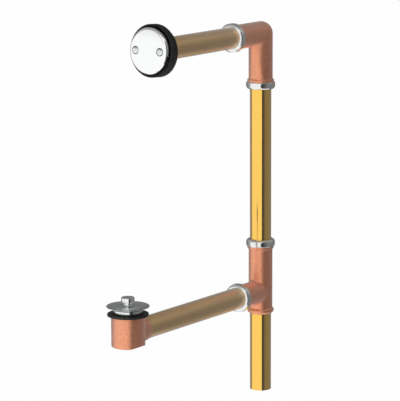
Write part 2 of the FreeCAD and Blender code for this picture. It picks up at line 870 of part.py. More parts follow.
# Sponge gasket, wedge backed, with a ridged front and a groove round the plate
sponge = new_body("overflow_gasket")
slope = d.sponge_radius * trig("tan", d.gasket_tilt)
ridges = [(d.sponge_hole, -slope), (d.sponge_radius, -slope)]
for ridge in range(int(d.ridge_count.number)):
    crest = d.sponge_radius - ridge * d.ridge_pitch
    ridges.append((crest, d.sponge_height - d.sponge_ridge))
    ridges.append((crest - d.ridge_pitch / 2, d.sponge_height))
band = d.sponge_radius - d.ridge_count * d.ridge_pitch
ridges.append((band, d.sponge_height - d.sponge_ridge))
ridges.append((band, d.sponge_height - d.sponge_groove))
ridges.append((d.plate_radius, d.sponge_height - d.sponge_groove))
ridges.append((d.plate_radius, d.sponge_height))
ridges.append((d.sponge_hole, d.sponge_height))
spun(sponge, "sponge_form", "Revolution", tuple(ridges))
wedge = new_sketch(sponge, "sponge_back_outline", "YZ_Plane")
outline(wedge, (
    (-d.sponge_radius, -slope),
    (-d.sponge_radius, -2 * slope),
    (d.sponge_radius, -2 * slope),
    (d.sponge_radius, slope),
))
ran(sponge, "sponge_back", "Pocket", wedge, 4 * d.sponge_radius, both=True)
on_head(sponge)
keep("overflow_gasket", sponge)

# Faceplate, a pressed shell with two dimples and an open foot
plate = new_body("overflow_faceplate")
flat_radius = d.plate_radius - d.plate_round
crown_bend = (flat_radius * flat_radius + d.plate_crown * d.plate_crown) / (2 * d.plate_crown)
shoulder = d.plate_edge - d.plate_round
spun(plate, "plate_form", "Revolution", (
    (0, d.plate_edge + d.plate_crown - d.plate_wall, -crown_bend),
    (flat_radius, d.plate_edge - d.plate_wall, -(d.plate_round - d.plate_wall)),
    (d.plate_radius - d.plate_wall, shoulder),
    (d.plate_radius - d.plate_wall, d.sponge_height),
    (d.plate_radius, d.sponge_height),
    (d.plate_radius, shoulder, d.plate_round),
    (flat_radius, d.plate_edge, crown_bend),
    (0, d.plate_edge + d.plate_crown),
))


def beside(body, name, kind, points):
    """Turn an outline round a line through both screw positions, one after the other."""
    for side, sign in (("left", -1), ("right", 1)):
        sketch = new_sketch(body, f"{name}_{side}_outline", "XZ_Plane")
        outline(sketch, tuple((sign * (d.screw_spacing + p[0]), p[1]) for p in points))
        low = FreeCAD.Vector(sign * d.screw_spacing.number, 0, 0)
        high = FreeCAD.Vector(low.x, d.sponge_radius.number, 0)
        line = sketch.addGeometry(Part.LineSegment(low, high), True)
        pin_point(sketch, line, 1, sign * d.screw_spacing, 0)
        pin_point(sketch, line, 2, sign * d.screw_spacing, d.sponge_radius)
        feature = body.newObject("PartDesign::" + kind, f"{name}_{side}")
        feature.Profile = sketch
        feature.ReferenceAxis = (sketch, ["Axis0"])
        feature.Angle = 360
        doc.recompute()


plate_front = d.plate_edge + d.plate_crown / 2
beside(plate, "dimple_back", "Revolution", (
    (0, plate_front - d.dimple_depth - d.plate_wall),
    (d.dimple_floor + d.plate_wall, plate_front - d.dimple_depth - d.plate_wall),
    (d.dimple_back, plate_front - d.plate_wall),
    (d.dimple_back - d.plate_wall, plate_front - d.plate_wall / 2),
    (0, plate_front - d.plate_wall / 2),
))
beside(plate, "dimple", "Groove", (
    (0, plate_front - d.dimple_depth),
    (d.dimple_floor, plate_front - d.dimple_depth),
    (d.dimple_radius, plate_front),
    (d.dimple_radius, plate_front + d.plate_wall),
    (0, plate_front + d.plate_wall),
))
beside(plate, "plate_hole", "Groove", (
    (0, d.lug_height),
    (d.screw_hole, d.lug_height),
    (d.screw_hole, plate_front),
    (0, plate_front),
))
foot = new_sketch(plate, "plate_foot_outline", "XY_Plane", d.sponge_height)
outline(foot, (
    (-d.sponge_radius, -d.sponge_radius),
    (d.sponge_radius, -d.sponge_radius),
    (d.sponge_radius, -d.slot_edge),
    (-d.sponge_radius, -d.slot_edge),
))
ran(plate, "plate_foot", "Pocket", foot, d.plate_edge - d.slot_rim - d.sponge_height, back=True)
on_head(plate)
keep("overflow_faceplate", plate)

# Oval head screws with a cross recess
for side, sign in (("left", -1), ("right", 1)):
    screw = new_body("faceplate_screw_" + side)
    face = plate_front + d.head_rise
    round_bend = (d.head_round * d.head_round + d.head_dome * d.head_dome) / (2 * d.head_dome)
    spun(screw, f"screw_{side}_form", "Revolution", (
        (0, d.shank_tip),
        (d.shank_radius, d.shank_tip),
        (d.shank_radius, plate_front - d.dimple_depth - d.plate_wall / 2),
        (d.shank_radius, face - d.head_under),
        (d.head_foot, face - d.head_under),
        (d.head_round, face, round_bend),
        (0, face + d.head_dome),
    ))
    recess = new_sketch(screw, f"recess_{side}_outline", "XY_Plane", face + d.head_dome)
    outline(recess, cross_points(d.recess_length / 2, d.recess_width / 2))
    ran(screw, f"recess_{side}", "Pocket", recess, d.recess_depth)
    on_head(screw)
    keep("faceplate_screw_" + side, screw)
    bind(screw, "Placement.Base.x", sign * d.screw_spacing)

# Check every feature, then write the pieces
doc.recompute()
for thing in doc.Objects:
    if "Invalid" in thing.State or "Error" in thing.State:
        raise RuntimeError(f"{thing.Name} did not build: {thing.State}")
for name, thing in pieces.items():
    if thing.Shape.isNull() or not thing.Shape.isValid():
        raise RuntimeError(f"{name} has no valid shape")
    if len(thing.Shape.Solids) != 1:
        raise RuntimeError(f"{name} has {len(thing.Shape.Solids)} solids")

os.makedirs("parts", exist_ok=True)
for name, thing in pieces.items():
    thing.Shape.exportStep(f"parts/{name}.step")
    box = thing.Shape.BoundBox
    print(f"{name}: {box.XMin:.1f} {box.XMax:.1f}  {box.YMin:.1f} {box.YMax:.1f}  "
          f"{box.ZMin:.1f} {box.ZMax:.1f}  volume {thing.Shape.Volume:.0f}")
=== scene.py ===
import json
import logging
import math
from collections.abc import Sequence
from dataclasses import dataclass
from enum import Enum

import bmesh
import bpy
from mathutils import Matrix, Vector


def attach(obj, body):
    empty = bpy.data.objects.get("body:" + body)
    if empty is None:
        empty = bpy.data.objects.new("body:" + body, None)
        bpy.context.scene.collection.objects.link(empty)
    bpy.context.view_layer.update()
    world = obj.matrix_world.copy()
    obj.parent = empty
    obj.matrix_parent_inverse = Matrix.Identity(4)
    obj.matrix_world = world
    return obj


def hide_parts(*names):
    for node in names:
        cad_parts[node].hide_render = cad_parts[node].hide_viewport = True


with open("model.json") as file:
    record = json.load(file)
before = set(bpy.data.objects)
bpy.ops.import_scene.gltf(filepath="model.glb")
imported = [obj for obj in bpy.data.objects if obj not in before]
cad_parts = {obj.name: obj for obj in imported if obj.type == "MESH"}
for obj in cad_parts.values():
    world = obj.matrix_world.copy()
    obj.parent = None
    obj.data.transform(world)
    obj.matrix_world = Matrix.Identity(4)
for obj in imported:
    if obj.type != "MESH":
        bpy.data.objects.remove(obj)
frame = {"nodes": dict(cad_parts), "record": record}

# Looks of a bath waste and overflow: brass tubes, copper fittings, chromed flange and faceplate.
# Sizes in the classes are millimetres in the part's own frame, and MM turns them to metres.
MM = 0.001
TO_METRES = Matrix.Scale(MM, 4)
# As the place of a spun shape, this leaves the shape in millimetres.
IN_MILLIMETRES = Matrix.Scale(1 / MM, 4)
# In millimetres, points closer than this are one: on a spun shape's seam, and on a CAD node's triangles.
SEAM_GAP = 0.0005
NODE_GAP = 0.002
# Edges that turn by more degrees than this are bevelled.
BEVEL_ANGLE = 25.0
# Nearly all values of a noise lie in this span.
NOISE_SPAN = (0.3, 0.7)
LOG = logging.getLogger("bath_waste")
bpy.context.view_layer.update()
BODY_NODES = frame["record"]["behaviour"]["bodies"]
# Points of (radius, height), or (radius, height, bend) for an arc that leaves the point and turns left.
Outline = Sequence[tuple[float, ...]]


class Body(Enum):
    """The rigid bodies that a piece can ride on."""

    PIPEWORK = "pipework"
    STOPPER = "stopper"
    KNOB = "knob"


# Small tools for colours, nodes and meshes


def linear(colour: str) -> tuple[float, float, float, float]:
    """Turn an sRGB hex colour into linear red, green, blue and alpha, by the standard's own curve."""
    parts = [int(colour[i:i + 2], 16) / 255 for i in (1, 3, 5)]
    return (*(p / 12.92 if p <= 0.04045 else ((p + 0.055) / 1.055) ** 2.4 for p in parts), 1.0)


def add_node(tree: bpy.types.NodeTree, kind: str, settings: dict[str | int, object] | None = None,
             links: dict[str | int, bpy.types.NodeSocket] | None = None) -> bpy.types.Node:
    """Add a node, set its properties and inputs, and link its inputs.

    Args:
        tree: the node tree that gets it.
        kind: Blender's name for the node type.
        settings: property names, or input names and numbers, with their values.
        links: input names or numbers with the output sockets that feed them.

    Returns:
        The new node.
    """
    made = tree.nodes.new(kind)
    for name, value in (settings or {}).items():
        if isinstance(name, str) and hasattr(made, name):
            setattr(made, name, value)
        else:
            made.inputs[name].default_value = value
    for name, socket in (links or {}).items():
        tree.links.new(socket, made.inputs[name])
    return made


def drawn(points: Outline, fine: float) -> list[Vector]:
    """Turn an outline with arcs into one of short straight steps.

    Args:
        points: the outline.
        fine: longest step on an arc in millimetres.

    Returns:
        The finer outline in the same order.
    """
    spots: list[Vector] = []
    for index, point in enumerate(points):
        start = Vector(point[:2])
        spots.append(start)
        if len(point) < 3:
            continue
        end = Vector(points[(index + 1) % len(points)][:2])
        chord = end - start
        bend = point[2]
        reach = math.copysign(math.sqrt(bend ** 2 - chord.length_squared / 4), bend)
        centre = (start + end) / 2 + Vector((-chord.y, chord.x)).normalized() * reach
        sweep = 2 * math.asin(chord.length / 2 / abs(bend))
        steps = max(2, math.ceil(sweep * abs(bend) / fine))
        turns = [math.copysign(sweep, bend) * i / steps for i in range(1, steps)]
        spots += [centre + Matrix.Rotation(turn, 2) @ (start - centre) for turn in turns]
    return spots


def spun(points: Outline, place: Matrix, rounding: float = 0.0, closed: bool = True, steps: int = 144,
         fine: float = 0.8) -> bmesh.types.BMesh:
    """Turn an outline fully round its upright axis, round its sharp edges and put it in place.

    Args:
        points: the outline in millimetres.
        place: where the axis stands, in millimetres.
        rounding: bevel of the sharp edges in millimetres.
        closed: whether the outline joins its last point to its first.
        steps: facets round the axis.
        fine: longest step on an arc in millimetres.

    Returns:
        The bmesh in metres.
    """
    mesh = bmesh.new()
    spots = [mesh.verts.new((p.x, 0, p.y)) for p in drawn(points, fine)]
    pairs = list(zip(spots, spots[1:])) + ([(spots[-1], spots[0])] if closed else [])
    edges = [mesh.edges.new(pair) for pair in pairs]
    bmesh.ops.spin(mesh, geom=spots + edges, cent=(0, 0, 0), axis=(0, 0, 1), dvec=(0, 0, 0),
                   angle=2 * math.pi, steps=steps, use_merge=True, use_duplicate=False)
    bmesh.ops.remove_doubles(mesh, verts=mesh.verts, dist=SEAM_GAP)
    bmesh.ops.recalc_face_normals(mesh, faces=mesh.faces)
    if rounding:
        rounded(mesh, rounding)
    bmesh.ops.transform(mesh, matrix=TO_METRES @ place, verts=mesh.verts)
    return mesh


def rounded(mesh: bmesh.types.BMesh, width: float) -> None:
    """Bevel every sharp edge.

    Args:
        mesh: bmesh to change.
        width: width of the bevel in the mesh's unit.
    """
    sharp = [e for e in mesh.edges if e.is_manifold and e.calc_face_angle() > math.radians(BEVEL_ANGLE)]
    bmesh.ops.bevel(mesh, geom=sharp, offset=width, offset_type="OFFSET", affect="EDGES", segments=3,
                    profile=0.5, material=-1, clamp_overlap=True)


def joined(*parts: bmesh.types.BMesh) -> bmesh.types.BMesh:
    """Put several bmeshes into one.

    Args:
        parts: the bmeshes, which are freed here.

    Returns:
        The bmesh that holds them all.
    """
    whole = bmesh.new()
    for part in parts:
        shell = bpy.data.meshes.new("shell")
        part.to_mesh(shell)
        part.free()
        whole.from_mesh(shell)
        bpy.data.meshes.remove(shell)
    return whole


def at(y: float = 0.0, z: float = 0.0, tip: float = 0.0, turn: float = 0.0) -> Matrix:
    """Place of an axis: where it starts, tipped about X and first turned about itself, in degrees."""
    return (Matrix.Translation((0, y, z)) @ Matrix.Rotation(math.radians(tip), 4, "X")
            @ Matrix.Rotation(math.radians(turn), 4, "Z"))


def finished(name: str, mesh: bmesh.types.BMesh, material: bpy.types.Material, body: Body,
             nodes: tuple[str, ...], sharp: float = 35.0) -> bpy.types.Object:
    """Turn a bmesh into a piece that stands for CAD nodes and rides on a body.

    Args:
        name: name of the piece.
        mesh: finished bmesh in metres, which is freed here.
        material: its finish.
        body: body that carries it.
        nodes: CAD nodes that it stands for.
        sharp: angle in degrees above which an edge stays sharp.

    Returns:
        The new object, at the origin.
    """
    data = bpy.data.meshes.new(name)
    mesh.to_mesh(data)
    mesh.free()
    data.polygons.foreach_set("use_smooth", [True] * len(data.polygons))
    data.set_sharp_from_angle(angle=math.radians(sharp))
    data.materials.append(material)
    piece = bpy.data.objects.new(name, data)
    bpy.context.scene.collection.objects.link(piece)
    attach(piece, body.value)
    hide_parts(*nodes)
    LOG.info("%s: %d faces", name, len(data.polygons))
    return piece


def skin(node: str, material: bpy.types.Material, sharp: float = 32.0) -> bpy.types.Object:
    """Merge a copy of a CAD node into one smooth skin.

    Its broad faces lead the shading, so that flats look flat.

    Args:
        node: name of the CAD node.
        material: its finish.
        sharp: angle in degrees above which an edge stays sharp.

    Returns:
        The new object.
    """
    mesh = bmesh.new()
    mesh.from_mesh(frame["nodes"][node].data)
    bmesh.ops.remove_doubles(mesh, verts=mesh.verts, dist=NODE_GAP * MM)
    body = next(b for b, names in BODY_NODES.items() if node in names)
    piece = finished(node + "_skin", mesh, material, Body(body), (node,), sharp)
    piece.modifiers.new("even_shading", "WEIGHTED_NORMAL").keep_sharp = True
    return piece


# Finishes


@dataclass(frozen=True)
class Surface:
    """A material in work: its node tree, its main shader and the piece's own coordinates."""

    tree: bpy.types.NodeTree
    shader: bpy.types.Node
    place: bpy.types.NodeSocket

    def grain(self, size: float, stretch: tuple[float, float, float] = (1, 1, 1),
              detail: float = 2.0) -> bpy.types.NodeSocket:
        """Noise with cells of a real size.

        Args:
            size: width of a cell in millimetres.
            stretch: how much finer the noise is along each axis.
            detail: octaves of the noise.

        Returns:
            The noise value, about 0 to 1.
        """
        mapped = add_node(self.tree, "ShaderNodeMapping", {"Scale": stretch}, {"Vector": self.place})
        return add_node(self.tree, "ShaderNodeTexNoise", {"Scale": 1 / (size * MM), "Detail": detail},
                        {"Vector": mapped.outputs["Vector"]}).outputs["Fac"]

    def spread(self, value: bpy.types.NodeSocket, low: float, high: float,
               span: tuple[float, float] = NOISE_SPAN) -> bpy.types.NodeSocket:
        """Map a noise value to a range.

        Args:
            value: the noise value.
            low: result at the span's start.
            high: result at the span's end.
            span: noise values that give low and high.

        Returns:
            The mapped value.
        """
        return add_node(self.tree, "ShaderNodeMapRange",
                        {"From Min": span[0], "From Max": span[1], "To Min": low, "To Max": high},
                        {"Value": value}).outputs["Result"]

    def tint(self, first: str, second: str, share: bpy.types.NodeSocket) -> None:
        """Mix two colours into the shader's base colour.

        Args:
            first: hex colour where the share is 0.
            second: hex colour where the share is 1.
            share: how much of the second colour there is.
        """
        blend = add_node(self.tree, "ShaderNodeMix",
                         {"data_type": "RGBA", 6: linear(first), 7: linear(second)}, {0: share})
        self.tree.links.new(blend.outputs[2], self.shader.inputs["Base Color"])

    def shine(self, value: bpy.types.NodeSocket, low: float, high: float,
              span: tuple[float, float] = NOISE_SPAN) -> None:
        """Vary the shader's roughness with a noise value, from low to high over the span."""
        self.tree.links.new(self.spread(value, low, high, span), self.shader.inputs["Roughness"])

    def relief(self, value: bpy.types.NodeSocket, depth: float) -> None:
        """Give the shader a bump whose full height, at a value of 1, is the depth in millimetres."""
        bump = add_node(self.tree, "ShaderNodeBump", {"Strength": 1.0, "Distance": depth * MM},
                        {"Height": value})
        self.tree.links.new(bump.outputs["Normal"], self.shader.inputs["Normal"])

    def coat(self, weight: float, roughness: float, ior: float = 1.5) -> None:
        """Lay a clear film of a given weight, roughness and index of refraction over the surface."""
        for name, value in (("Coat Weight", weight), ("Coat Roughness", roughness), ("Coat IOR", ior)):
            self.shader.inputs[name].default_value = value


@dataclass(frozen=True)
class Finish:
    """What every finish has: a name, a colour and how it shines.

    The haze is a sheen of fine scratches, dust or tarnish. The wear is the share of the roughness at its
    brightest and at its dullest places, and the depth is that of its relief in millimetres.
    """

    name: str
    colour: str
    roughness: float
    metallic: float = 1.0
    haze: float = 0.0
    haze_spread: float = 0.4
    wear: tuple[float, float] = (1.0, 1.0)
    depth: float = 0.0

    def material(self) -> bpy.types.Material:
        """Make the material, set its main shader and dress it.

        Returns:
            The finished material.
        """
        material = bpy.data.materials.new(self.name)
        material.use_nodes = True
        tree = material.node_tree
        shader = tree.nodes["Principled BSDF"]
        shader.inputs["Base Color"].default_value = linear(self.colour)
        shader.inputs["Roughness"].default_value = self.roughness
        shader.inputs["Metallic"].default_value = self.metallic
        shader.inputs["Sheen Weight"].default_value = self.haze
        shader.inputs["Sheen Roughness"].default_value = self.haze_spread
        self.dress(Surface(tree, shader, add_node(tree, "ShaderNodeTexCoord").outputs["Object"]))
        return material

    def worn(self) -> tuple[float, float]:
        """Return the roughness at the brightest and at the dullest places."""
        return self.roughness * self.wear[0], self.roughness * self.wear[1]

    def dress(self, surface: Surface) -> None:
        """Add the finish's own detail; the plain finish has none."""


@dataclass(frozen=True)
class LacqueredBrass(Finish):
    """Drawn brass tube under clear lacquer: bright and yellow, with draw lines too fine to count."""

    wear: tuple[float, float] = (0.85, 1.2)
    depth: float = 0.002
    cloud: float = 25.0
    line: float = 0.8
    lacquer: tuple[float, float] = (0.3, 0.25)

    def dress(self, surface: Surface) -> None:
        """Vary the shine in soft clouds, pit the tube faintly and lay the lacquer over it.

        Args:
            surface: the material in work.
        """
        surface.shine(surface.grain(self.cloud), *self.worn())
        surface.relief(surface.grain(self.line), self.depth)
        surface.coat(*self.lacquer)


@dataclass(frozen=True)
class SatinBrass(Finish):
    """Drawn brass tube left from the draw bench: pale, with a silky haze and lines along its length."""

    wear: tuple[float, float] = (0.85, 1.15)
    depth: float = 0.004
    line: float = 1.2
    line_stretch: tuple[float, float, float] = (1, 0.03, 1)
    tarnish: str = "#E6C092"
    tarnish_cloud: float = 18.0
    tarnish_share: float = 0.6
    film: tuple[float, float] = (0.5, 0.35)

    def dress(self, surface: Surface) -> None:
        """Draw the bench's lines along Y, coarser than the real ones so that they show, over thin tarnish.

        Args:
            surface: the material in work.
        """
        lines = surface.grain(self.line, self.line_stretch)
        cloud = surface.grain(self.tarnish_cloud, detail=3.0)
        surface.tint(self.colour, self.tarnish, surface.spread(cloud, 0.0, self.tarnish_share))
        surface.shine(lines, *self.worn())
        surface.relief(lines, self.depth)
        surface.coat(*self.film)


@dataclass(frozen=True)
class DrawnCopper(Finish):
    """Copper drawn and annealed: a dappled skin, darker where scale was pickled off, under a clear film."""

    wear: tuple[float, float] = (0.88, 1.12)
    depth: float = 0.06
    shade: str = "#EA8F60"
    dapple: float = 4.0
    dapple_span: tuple[float, float] = (0.35, 0.62)
    film: tuple[float, float, float] = (1.0, 0.4, 1.8)

    def dress(self, surface: Surface) -> None:
        """Dapple colour and surface with one noise and the shine with a finer one, under the film.

        Args:
            surface: the material in work.
        """
        dapple = surface.grain(self.dapple, detail=3.0)
        surface.tint(self.shade, self.colour, surface.spread(dapple, 0.0, 1.0, self.dapple_span))
        surface.shine(surface.grain(self.dapple / 4), *self.worn())
        surface.relief(dapple, self.depth)
        surface.coat(*self.film)


@dataclass(frozen=True)
class ChromePlate(Finish):
    """Polished brass under chromium: a cool mirror with hardly any haze."""

    wear: tuple[float, float] = (0.8, 1.3)
    cloud: float = 12.0

    def dress(self, surface: Surface) -> None:
        """Vary the polish a little over the piece."""
        surface.shine(surface.grain(self.cloud), *self.worn())


@dataclass(frozen=True)
class TurnedChrome(Finish):
    """Turned brass under chromium: the lathe's rings still show as fine bright and dark circles."""

    wear: tuple[float, float] = (0.7, 1.3)
    depth: float = 0.012
    centre: tuple[float, float] = (0.0, -381.0)
    pitch: float = 1.7
    waver: float = 0.6

    def dress(self, surface: Surface) -> None:
        """Lay rings round the waste's axis, drawn coarser than the real ones so that they show.

        Args:
            surface: the material in work.
        """
        shift = [-c * MM for c in self.centre] + [0.0]
        moved = add_node(surface.tree, "ShaderNodeMapping", {"Location": shift}, {"Vector": surface.place})
        # Blender's wave has a ring every pi / 10 over its scale.
        scale = math.pi / 10 / (self.pitch * MM)
        rings = add_node(surface.tree, "ShaderNodeTexWave",
                         {"wave_type": "RINGS", "rings_direction": "Z", "Scale": scale,
                          "Distortion": self.waver, "Detail": 2.0},
                         {"Vector": moved.outputs["Vector"]}).outputs["Fac"]
        surface.relief(rings, self.depth)
        surface.shine(rings, *self.worn(), (0.0, 1.0))


@dataclass(frozen=True)
class PlatedCasting(Finish):
    """Die-cast nut under chromium: a mirror with the faint orange peel of the casting."""

    depth: float = 0.01
    peel: float = 1.5

    def dress(self, surface: Surface) -> None:
        """Add the orange peel."""
        surface.relief(surface.grain(self.peel), self.depth)


@dataclass(frozen=True)
class MouldedRubber(Finish):
    """Black rubber from a mould: dull, with a fine grain and a dusty bloom."""

    depth: float = 0.06
    bloom: str = "#201F1F"
    cloud: float = 6.0
    grit: float = 0.6

    def dress(self, surface: Surface) -> None:
        """Cloud the colour with bloom and roughen the skin."""
        surface.tint(self.colour, self.bloom, surface.spread(surface.grain(self.cloud), 0.0, 1.0))
        surface.relief(surface.grain(self.grit), self.depth)


@dataclass(frozen=True)
class MouldedPlastic(Finish):
    """Milky polyethylene washer: soft edged and slightly see-through in thin places."""

    depth: float = 0.02
    milk: float = 0.2
    milk_reach: float = 1.5
    grit: float = 0.8

    def dress(self, surface: Surface) -> None:
        """Let a little light into it and give it the mould's skin.

        Args:
            surface: the material in work.
        """
        surface.shader.inputs["Subsurface Weight"].default_value = self.milk
        surface.shader.inputs["Subsurface Scale"].default_value = self.milk_reach * MM
        surface.relief(surface.grain(self.grit), self.depth)


@dataclass(frozen=True)
class TurnedMetal(Finish):
    """Plain metal from the lathe: the tool's fine marks break up the light."""

    wear: tuple[float, float] = (0.8, 1.25)
    depth: float = 0.01
    mark: float = 0.4

    def dress(self, surface: Surface) -> None:
        """Draw the tool's marks as a fine uneven grain.

        Args:
            surface: the material in work.
        """
        marks = surface.grain(self.mark)
        surface.relief(marks, self.depth)
        surface.shine(marks, *self.worn())


@dataclass(frozen=True)
class FinishSet:
    """Every finish of the object, named by what the real surface is, apart from one dark finish that is
    painted shade.
    """

    brass: bpy.types.Material
    satin: bpy.types.Material
    copper: bpy.types.Material
    chrome: bpy.types.Material
    plate: bpy.types.Material
    # Dark chrome whose colour is painted shade, for the ring in each screw's dimple.
    recess: bpy.types.Material
    turned_chrome: bpy.types.Material
    nut: bpy.types.Material
    rubber: bpy.types.Material
    sponge: bpy.types.Material
    washer: bpy.types.Material
    turned: bpy.types.Material
    steel: bpy.types.Material


def make_finishes() -> FinishSet:
    """Build the object's materials once.

    Returns:
        The finished materials.
    """
    return FinishSet(
        brass=LacqueredBrass("lacquered_brass", "#FFCB55", 0.09, haze=0.22, haze_spread=0.8).material(),
        satin=SatinBrass("satin_drawn_brass", "#EFC890", 0.36, haze=0.6).material(),
        copper=DrawnCopper("annealed_copper", "#F8A06C", 0.44, haze=0.4, haze_spread=0.6).material(),
        chrome=ChromePlate("polished_chrome", "#EDEEEF", 0.06).material(),
        plate=ChromePlate("bright_chrome", "#FAFBFB", 0.1).material(),
        # Dark grey chrome as painted shade: it stands in for the shade that falls in the recess round each
        # screw head.
        recess=ChromePlate("recess_painted_shade", "#4C4E50", 0.3).material(),
        turned_chrome=TurnedChrome("turned_chrome", "#E6E9E8", 0.12).material(),
        nut=PlatedCasting("plated_casting", "#EDEDEC", 0.17).material(),
        rubber=MouldedRubber("moulded_rubber", "#101010", 0.5, 0.0).material(),
        sponge=MouldedRubber("moulded_sponge", "#101010", 0.7, 0.0, bloom="#262626", grit=0.9).material(),
        washer=MouldedPlastic("moulded_polyethylene", "#E6E5DF", 0.45, 0.0).material(),
        turned=TurnedMetal("lathe_turned_brass", "#D8AE62", 0.3).material(),
        steel=TurnedMetal("stamped_steel", "#B9BCC0", 0.3).material(),
    )


# Sub-assemblies


@dataclass
class Pipework:
    """Brass tubes, copper fittings and washers."""

    finishes: FinishSet
    tube_bore: float = 17.9
    tube_radius: float = 19.05
    spigot_radius: float = 18.95
    cut_rounding: float = 0.25
    drain_height: float = 182.0
    overflow_height: float = 650.0
    riser: tuple[float, float] = (237.3, 593.0)
    shoe_run: tuple[float, float] = (33.0, 354.0)
    overflow_run: tuple[float, float] = (50.0, 291.0)
    tail: tuple[float, float, float] = (0.0, 140.7, 160.0)
    fittings: tuple[str, ...] = ("drain_tee", "overflow_elbow", "waste_shoe")
    fitting_sharp: float = 40.0
    washers: tuple[str, ...] = (
        "tee_top_washer", "tee_side_washer", "elbow_inlet_washer", "elbow_outlet_washer")
    turned: tuple[str, ...] = ("overflow_head", "shoe_thread_ring")

    def tube(self, name: str, run: tuple[float, ...], place: Matrix, material: bpy.types.Material) -> None:
        """Make one tube; a third number in its run is the end of a slightly smaller spigot.

        Args:
            name: CAD node that it stands for.
            run: where along its axis the tube starts and ends.
            place: where its axis stands.
            material: its finish.
        """
        points = [(self.tube_bore, run[0]), (self.tube_radius, run[0]), (self.tube_radius, run[1])]
        if len(run) > 2:
            points += [(self.spigot_radius, run[1]), (self.spigot_radius, run[2])]
        points.append((self.tube_bore, run[-1]))
        finished(name + "_drawn", spun(points, place, self.cut_rounding if len(run) < 3 else 0.0), material,
                 Body.PIPEWORK, (name,))

    def build(self) -> None:
        """Make the tubes and skin every fitting and washer."""
        self.tube("riser_tube", self.riser, at(), self.finishes.brass)
        self.tube("tailpiece", self.tail, at(), self.finishes.brass)
        self.tube("shoe_tube", self.shoe_run, at(z=self.drain_height, tip=90), self.finishes.satin)
        self.tube("overflow_tube", self.overflow_run, at(z=self.overflow_height, tip=90), self.finishes.satin)
        for name in self.fittings:
            skin(name, self.finishes.copper, self.fitting_sharp)
        for name in self.washers:
            skin(name, self.finishes.washer)
        for name in self.turned:
            skin(name, self.finishes.turned)


@dataclass
class SlipNuts:
    """The four plated slip nuts, eight crowned flats each."""

    finishes: FinishSet
    lip_bore: float = 19.35
    lip: float = 2.0
    mouth: float = 20.2
    radius: float = 26.0
    bore: float = 23.9
    back: float = 24.3
    length: float = 13.2
    widest: float = 4.0
    flat: float = 25.1
    crown: float = 40.0
    flats: int = 8
    facets_per_flat: int = 16
    fine: float = 0.4
    shoulder: float = 6.4
    back_round: float = 4.3
    sharp: float = 14.0
    places: tuple[tuple[str, dict[str, float]], ...] = (
        ("tee_top_nut", {"z": 279.3, "tip": 180, "turn": -13.3}),
        ("tee_side_nut", {"y": -75.0, "z": 182.0, "tip": -90}),
        ("elbow_inlet_nut", {"y": -92.0, "z": 650.0, "tip": -90}),
        ("elbow_outlet_nut", {"z": 551.0, "turn": 13.3}),
    )

    def crowned(self, mesh: bmesh.types.BMesh) -> None:
        """Press flats with a slight crown into the round blank's sides and shoulders.

        Args:
            mesh: the blank in millimetres, its axis upright.
        """
        sector = 2 * math.pi / self.flats
        offset = self.crown - self.flat
        for vert in mesh.verts:
            bearing = math.atan2(vert.co.y, vert.co.x)
            bearing -= sector * round(bearing / sector)
            aside = offset * math.sin(bearing)
            reach = math.sqrt(self.crown ** 2 - aside ** 2) - offset * math.cos(bearing)
            vert.co.xy *= min(1.0, reach / vert.co.xy.length)

    def build(self) -> None:
        """Spin each blank with a round shoulder and press its flats."""
        front = self.radius - self.mouth
        points = [(self.lip_bore, 0), (self.mouth, 0, self.shoulder), (self.radius, front),
                  (self.radius, front + self.widest, self.back_round), (self.back, self.length),
                  (self.bore, self.length), (self.bore, self.lip + self.bore - self.lip_bore),
                  (self.lip_bore, self.lip)]
        for name, where in self.places:
            mesh = spun(points, IN_MILLIMETRES, steps=self.flats * self.facets_per_flat, fine=self.fine)
            self.crowned(mesh)
            bmesh.ops.transform(mesh, matrix=TO_METRES @ at(**where), verts=mesh.verts)
            finished(name + "_plated", mesh, self.finishes.nut, Body.PIPEWORK, (name,), self.sharp)


